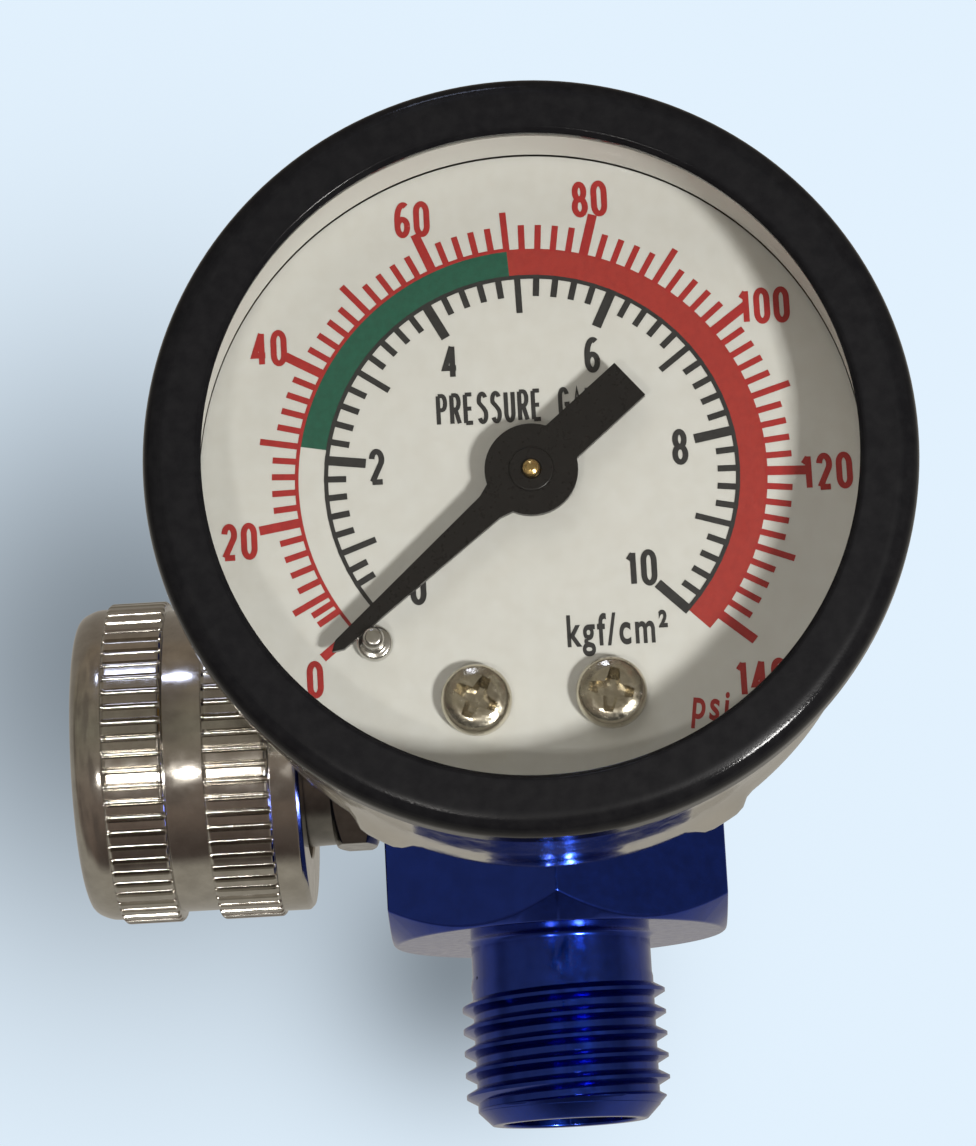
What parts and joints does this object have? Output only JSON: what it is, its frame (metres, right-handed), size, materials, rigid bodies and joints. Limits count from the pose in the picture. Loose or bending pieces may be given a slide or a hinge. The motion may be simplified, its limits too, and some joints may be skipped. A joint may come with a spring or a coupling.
{
  "type": "air pressure regulator",
  "caption": "Small in-line air pressure regulator: hexagonal valve body with a male inlet thread, a female outlet port, a knurled side knob and a back-mounted dial gauge.",
  "frame": {"origin": "centre of the male inlet thread's end face", "axes": "+Z along the flow towards the outlet port; the gauge faces -Y and the knob points to -X"},
  "size_m": [0.0526, 0.0541, 0.0572],
  "materials": {
    "blue_anodised": "deep blue anodised, glossy",
    "nickel": "bright nickel plate",
    "steel": "bright plated steel",
    "brass": "machined brass",
    "phosphor_bronze": "drawn phosphor bronze",
    "black_paint": "satin black paint",
    "rubber": "black nitrile rubber",
    "dark_fibre": "graphited fibre",
    "white_nylon": "turned nylon",
    "dial_white": "warm white printed sheet",
    "pointer_black": "black painted sheet",
    "clear_lens": "clear moulded window"
  },
  "bodies": {
    "root": {"valve_body": "blue_anodised", "gland_nut": "nickel", "gland_seal": "dark_fibre", "valve_seat": "brass", "gauge_socket": "brass", "stem_seal": "dark_fibre", "gauge_case": "nickel", "case_screw_left": "steel", "case_screw_right": "steel", "bezel": "black_paint", "lens_gasket": "rubber", "lens": "clear_lens", "dial_plate": "dial_white", "dial_screw_left": "steel", "dial_screw_right": "steel", "stop_pin": "steel", "movement_front_plate": "brass", "movement_back_plate": "brass", "movement_pillar_upper": "brass", "movement_pillar_lower": "brass", "movement_screw_upper": "steel", "movement_screw_lower": "steel", "bourdon_tube": "phosphor_bronze", "tube_tip": "brass", "hairspring": "phosphor_bronze"},
    "spindle_seal": {"spindle_oring": "rubber"},
    "knob_and_spindle": {"knob": "nickel", "spindle": "brass", "needle_tip": "white_nylon", "retaining_clip": "steel", "knob_set_screw": "steel"},
    "pointer_and_pinion": {"pointer": "pointer_black", "pointer_bush": "brass", "pinion_arbor": "brass"},
    "sector": {"sector_gear": "brass", "sector_arbor": "steel", "sector_pin": "steel"},
    "link": {"link": "brass", "tip_pin": "steel"}
  },
  "joints": [
    {"name": "spindle_travel", "type": "slide", "parent": "root", "child": "spindle_seal", "axis": [1, 0, 0], "range_m": [-0.00295, 0.00125]},
    {"name": "knob_turn", "type": "hinge", "parent": "spindle_seal", "child": "knob_and_spindle", "pos_m": [-0.0236, 0, 0.02508], "axis": [1, 0, 0], "range_deg": [-1062.5, 450.5]},
    {"name": "pointer_turn", "type": "hinge", "parent": "root", "child": "pointer_and_pinion", "pos_m": [0, -0.0343, 0.03518], "axis": [0, 1, 0], "range_deg": [0, 263], "stiffness_Nm_per_rad": 0.0001, "springref_deg": -14.32},
    {"name": "sector_swing", "type": "hinge", "parent": "root", "child": "sector", "pos_m": [0.00735, -0.0298, 0.02901], "axis": [0, 1, 0], "range_deg": [-37.7, 0.1]},
    {"name": "link_swing", "type": "hinge", "parent": "sector", "child": "link", "pos_m": [0.0103, -0.0292, 0.02694], "axis": [0, 1, 0], "range_deg": [-0.1, 37.7]}
  ],
  "couplings": [
    {"joint": "knob_turn", "follows": "spindle_travel", "rad_per_m": 6283.2},
    {"joint": "sector_swing", "follows": "pointer_turn", "ratio": -0.14286},
    {"joint": "link_swing", "follows": "pointer_turn", "ratio": 0.14286}
  ]
}
